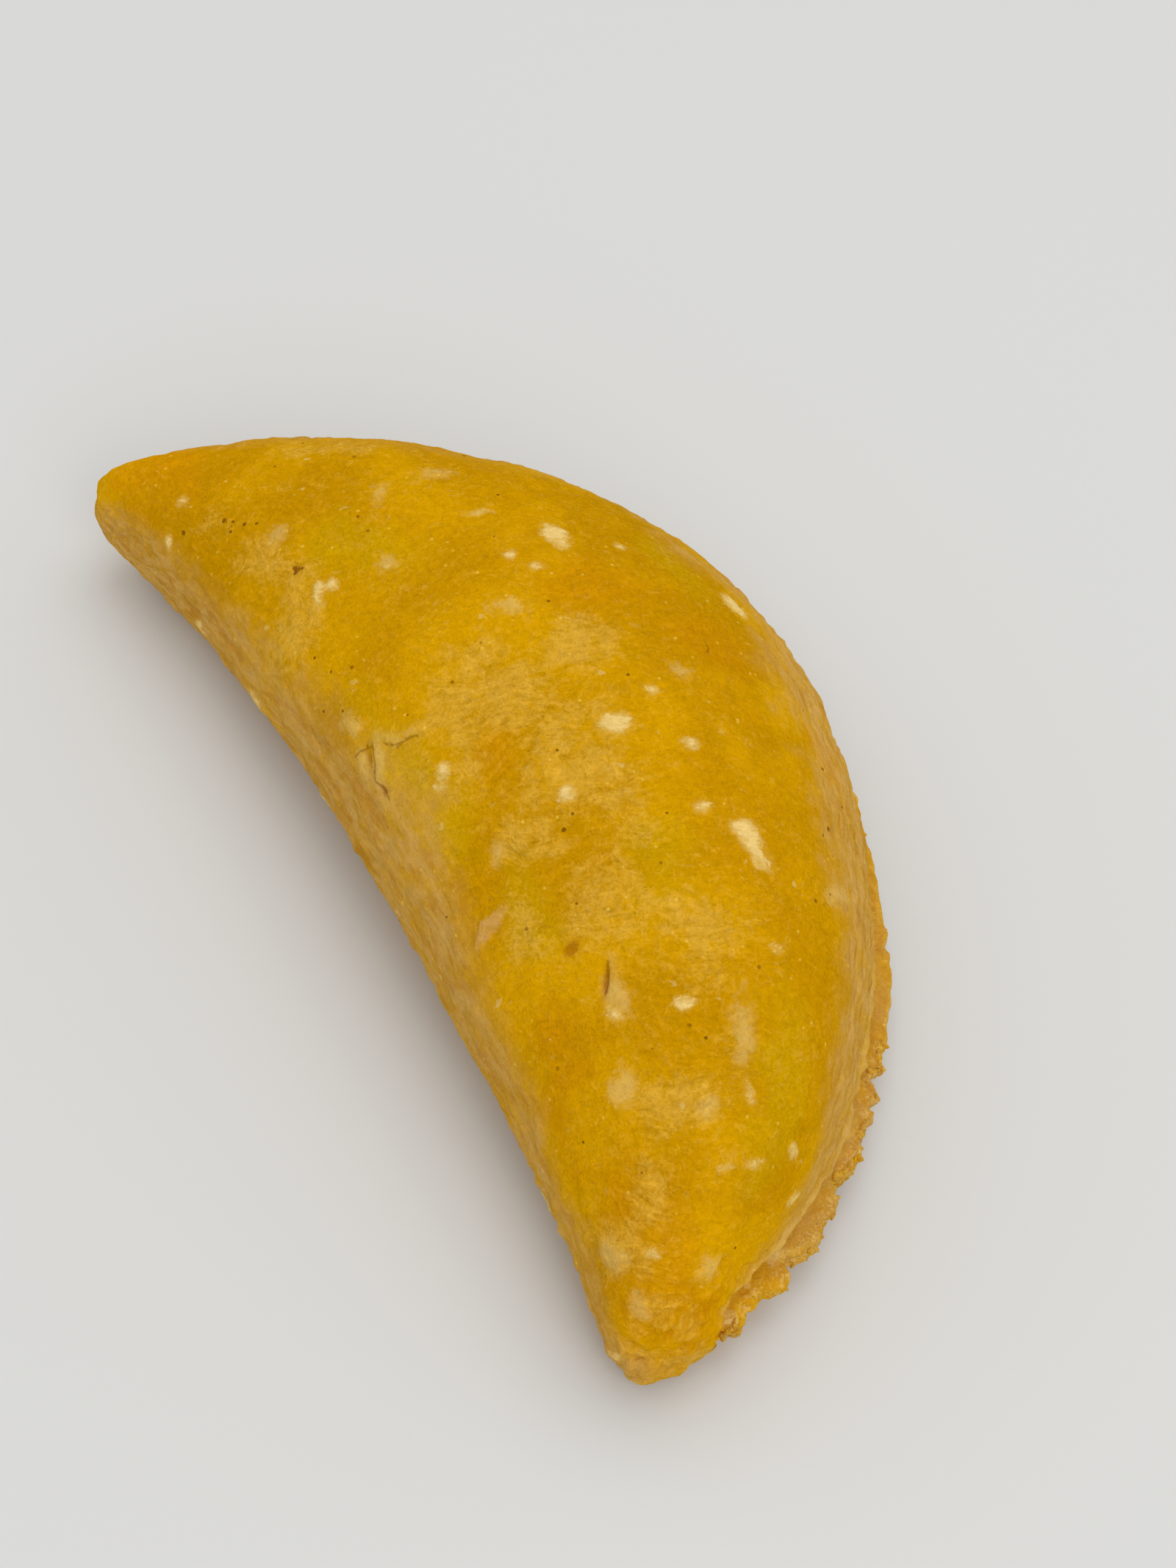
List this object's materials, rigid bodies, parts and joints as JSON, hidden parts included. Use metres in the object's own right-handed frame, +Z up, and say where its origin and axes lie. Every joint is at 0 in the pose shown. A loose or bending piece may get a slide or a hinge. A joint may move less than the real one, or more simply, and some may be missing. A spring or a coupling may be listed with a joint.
{
  "type": "empanada",
  "caption": "Whole fried half-moon turnover of yellow corn dough, plump and golden, with a folded side, two tips and a thin ragged sealed edge; it lies on its flat side.",
  "frame": {"origin": "middle of the footprint, on the surface that the empanada lies on", "axes": "+X along the fold from the curled tip to the low tip, +Y from the fold to the sealed round edge, +Z up"},
  "size_m": [0.128, 0.0664, 0.0328],
  "materials": {
    "crust": "satin"
  },
  "bodies": {
    "root": {"empanada": "crust"}
  },
  "joints": []
}
